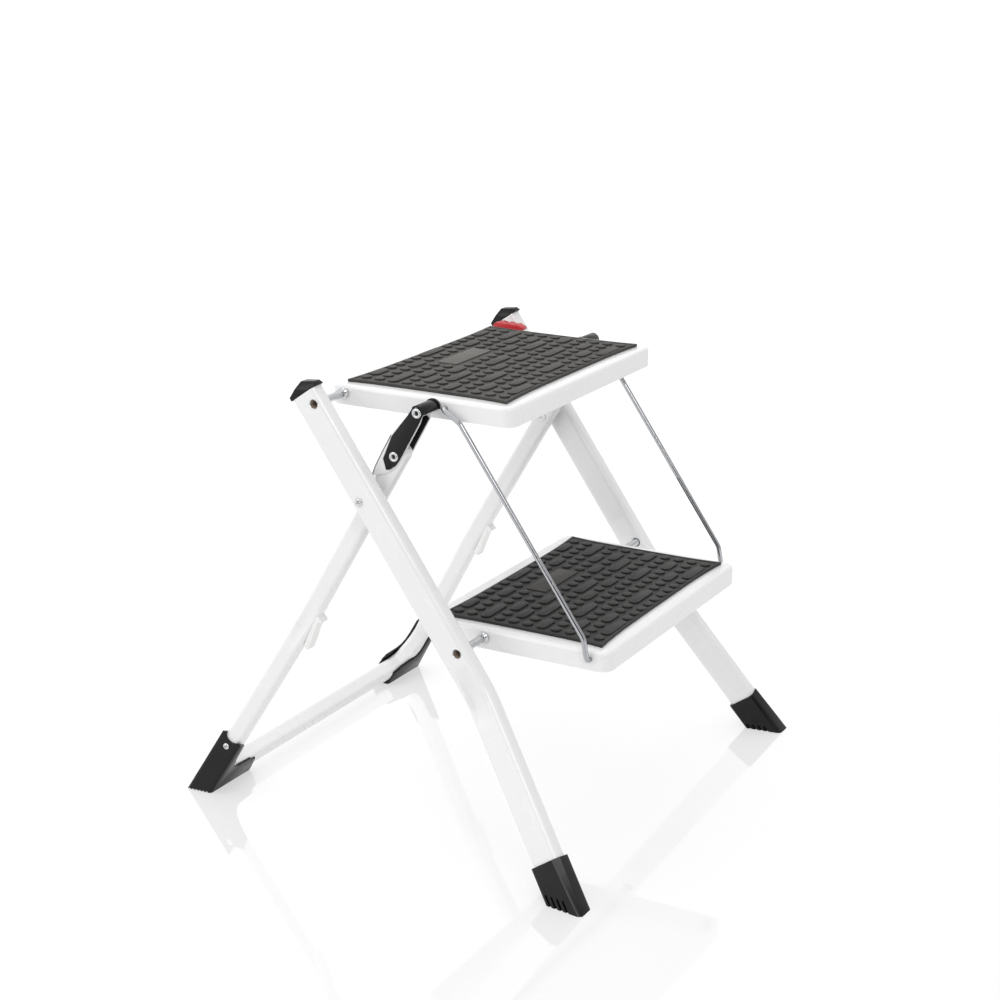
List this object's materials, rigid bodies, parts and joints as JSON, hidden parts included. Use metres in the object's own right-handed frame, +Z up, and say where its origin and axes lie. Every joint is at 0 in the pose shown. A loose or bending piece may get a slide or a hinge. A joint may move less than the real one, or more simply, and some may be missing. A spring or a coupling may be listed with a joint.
{
  "type": "folding step stool",
  "caption": "Free-standing folding step stool with a tube frame, matted steel treads, side wires, folding links and a safety latch.",
  "frame": {"origin": "on the floor, at the centre of the stool's overall footprint when open", "axes": "+Z up, -Y the front where a person climbs on, +X the climber's right as seen facing the stool"},
  "size_m": [0.5028, 0.4808, 0.4512],
  "materials": {
    "white_steel": "glossy white powder coat",
    "black_plastic": "moulded, semi-gloss",
    "zinc_steel": "zinc plated",
    "white_plastic": "moulded, satin",
    "upper_mat_rubber": "moulded studs, matt",
    "lower_mat_rubber": "moulded studs, matt",
    "chrome_wire": "bright plated",
    "red_plastic": "moulded, semi-gloss"
  },
  "bodies": {
    "front_frame": {"front_leg_left": "white_steel", "front_leg_right": "white_steel", "front_leg_cap_left": "black_plastic", "front_leg_cap_right": "black_plastic", "front_foot_left": "black_plastic", "front_foot_right": "black_plastic", "upper_rod": "white_steel", "lower_rod": "white_steel", "upper_rod_collars": "zinc_steel", "lower_rod_collars": "zinc_steel", "main_pivot_left": "zinc_steel", "main_pivot_right": "zinc_steel", "pivot_spacer_left": "zinc_steel", "pivot_spacer_right": "zinc_steel", "latch_spring": "zinc_steel"},
    "rear_frame": {"rear_frame_tube": "white_steel", "rear_foot_left": "black_plastic", "rear_foot_right": "black_plastic", "rear_foot_screw_left": "zinc_steel", "rear_foot_screw_right": "zinc_steel", "transport_clip_left": "white_plastic", "transport_clip_right": "white_plastic", "rear_link_pin_left": "zinc_steel", "rear_link_pin_right": "zinc_steel"},
    "upper_tread": {"upper_tread_pan": "white_steel", "upper_tread_mat": "upper_mat_rubber", "upper_tread_bushes": "white_plastic"},
    "lower_tread": {"lower_tread_pan": "white_steel", "lower_tread_mat": "lower_mat_rubber", "lower_tread_bushes": "white_plastic"},
    "safety_latch": {"safety_latch": "red_plastic"},
    "link_left": {"link_channel_left": "white_steel", "link_cover_left": "black_plastic", "link_pin_left": "zinc_steel", "link_spacers_left": "zinc_steel"},
    "wire_left": {"wire_left": "chrome_wire", "wire_retainers_left": "zinc_steel"},
    "link_right": {"link_channel_right": "white_steel", "link_cover_right": "black_plastic", "link_pin_right": "zinc_steel", "link_spacers_right": "zinc_steel"},
    "wire_right": {"wire_right": "chrome_wire", "wire_retainers_right": "zinc_steel"}
  },
  "joints": [
    {"name": "fold", "type": "hinge", "parent": "front_frame", "child": "rear_frame", "pos_m": [0, 0.02643, 0.34124], "axis": [-1, 0, 0], "range_deg": [0, 62]},
    {"name": "upper_tread_turn", "type": "hinge", "parent": "front_frame", "child": "upper_tread", "pos_m": [0, 0.07525, 0.43], "axis": [1, 0, 0], "range_deg": [0, 50]},
    {"name": "lower_tread_turn", "type": "hinge", "parent": "front_frame", "child": "lower_tread", "pos_m": [0, -0.07975, 0.209], "axis": [1, 0, 0], "range_deg": [0, 50]},
    {"name": "latch_lift", "type": "hinge", "parent": "front_frame", "child": "safety_latch", "pos_m": [0, 0.07525, 0.43], "axis": [-1, 0, 0], "range_deg": [0, 20], "stiffness_Nm_per_rad": 0.05, "springref_deg": -17.19},
    {"name": "link_left_turn", "type": "hinge", "parent": "rear_frame", "child": "link_left", "pos_m": [0, 0.00025, 0.38422], "axis": [1, 0, 0], "range_deg": [0, 160.42]},
    {"name": "wire_left_turn", "type": "hinge", "parent": "upper_tread", "child": "wire_left", "pos_m": [0, -0.03805, 0.4295], "axis": [-1, 0, 0], "range_deg": [0, 50]},
    {"name": "link_right_turn", "type": "hinge", "parent": "rear_frame", "child": "link_right", "pos_m": [0, 0.00025, 0.38422], "axis": [1, 0, 0], "range_deg": [0, 160.42]},
    {"name": "wire_right_turn", "type": "hinge", "parent": "upper_tread", "child": "wire_right", "pos_m": [0, -0.03805, 0.4295], "axis": [-1, 0, 0], "range_deg": [0, 50]}
  ],
  "couplings": [
    {"joint": "upper_tread_turn", "follows": "fold", "ratio": 0.80645},
    {"joint": "lower_tread_turn", "follows": "fold", "ratio": 0.80645},
    {"joint": "link_left_turn", "follows": "fold", "ratio": 2.5874},
    {"joint": "wire_left_turn", "follows": "fold", "ratio": 0.80645},
    {"joint": "link_right_turn", "follows": "fold", "ratio": 2.5874},
    {"joint": "wire_right_turn", "follows": "fold", "ratio": 0.80645}
  ]
}
